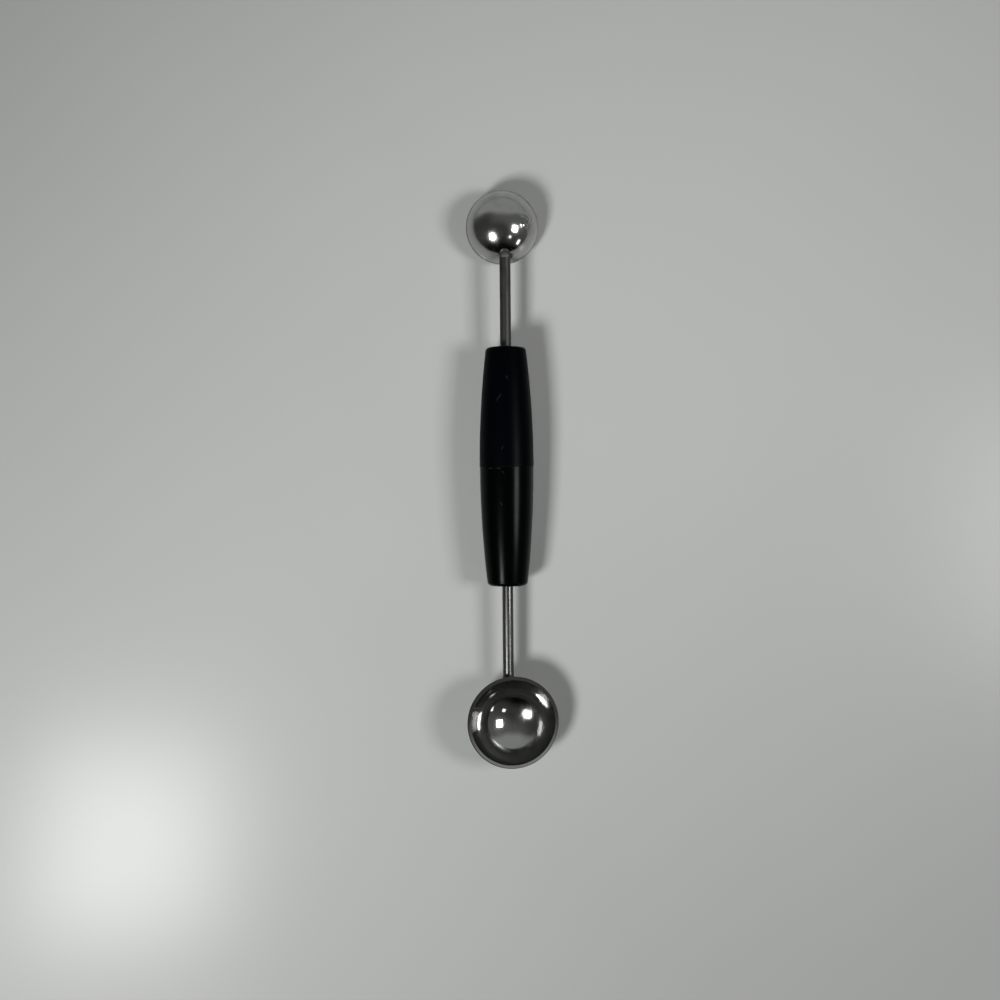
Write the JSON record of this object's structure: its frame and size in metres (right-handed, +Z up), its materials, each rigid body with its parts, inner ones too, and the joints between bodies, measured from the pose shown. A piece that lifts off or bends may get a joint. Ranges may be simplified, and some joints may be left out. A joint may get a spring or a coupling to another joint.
{
  "type": "melon baller",
  "caption": "Hand tool for scooping balls of melon: a small and a large round steel bowl face opposite ways on stems at the ends of a black barrel-shaped plastic handle.",
  "frame": {"origin": "on the table, under the middle of the tool's length and of the large bowl's width, as it lies in the picture", "axes": "+Y along the handle towards the small bowl, +Z up off the table, +X to the right with the small bowl away from the viewer"},
  "size_m": [0.0282, 0.1789, 0.0168],
  "materials": {
    "bowl_steel": "mirror-polished stainless steel with fine wear",
    "stem_steel": "polished stainless steel rod",
    "weld_steel": "weld metal, lightly polished",
    "matte_grip": "satin black moulded plastic",
    "glossy_grip": "glossy black moulded plastic"
  },
  "bodies": {
    "root": {"small_bowl": "bowl_steel", "large_bowl": "bowl_steel", "small_stem": "stem_steel", "large_stem": "stem_steel", "small_weld": "weld_steel", "large_weld": "weld_steel", "small_end_grip": "matte_grip", "large_end_grip": "glossy_grip"}
  },
  "joints": []
}
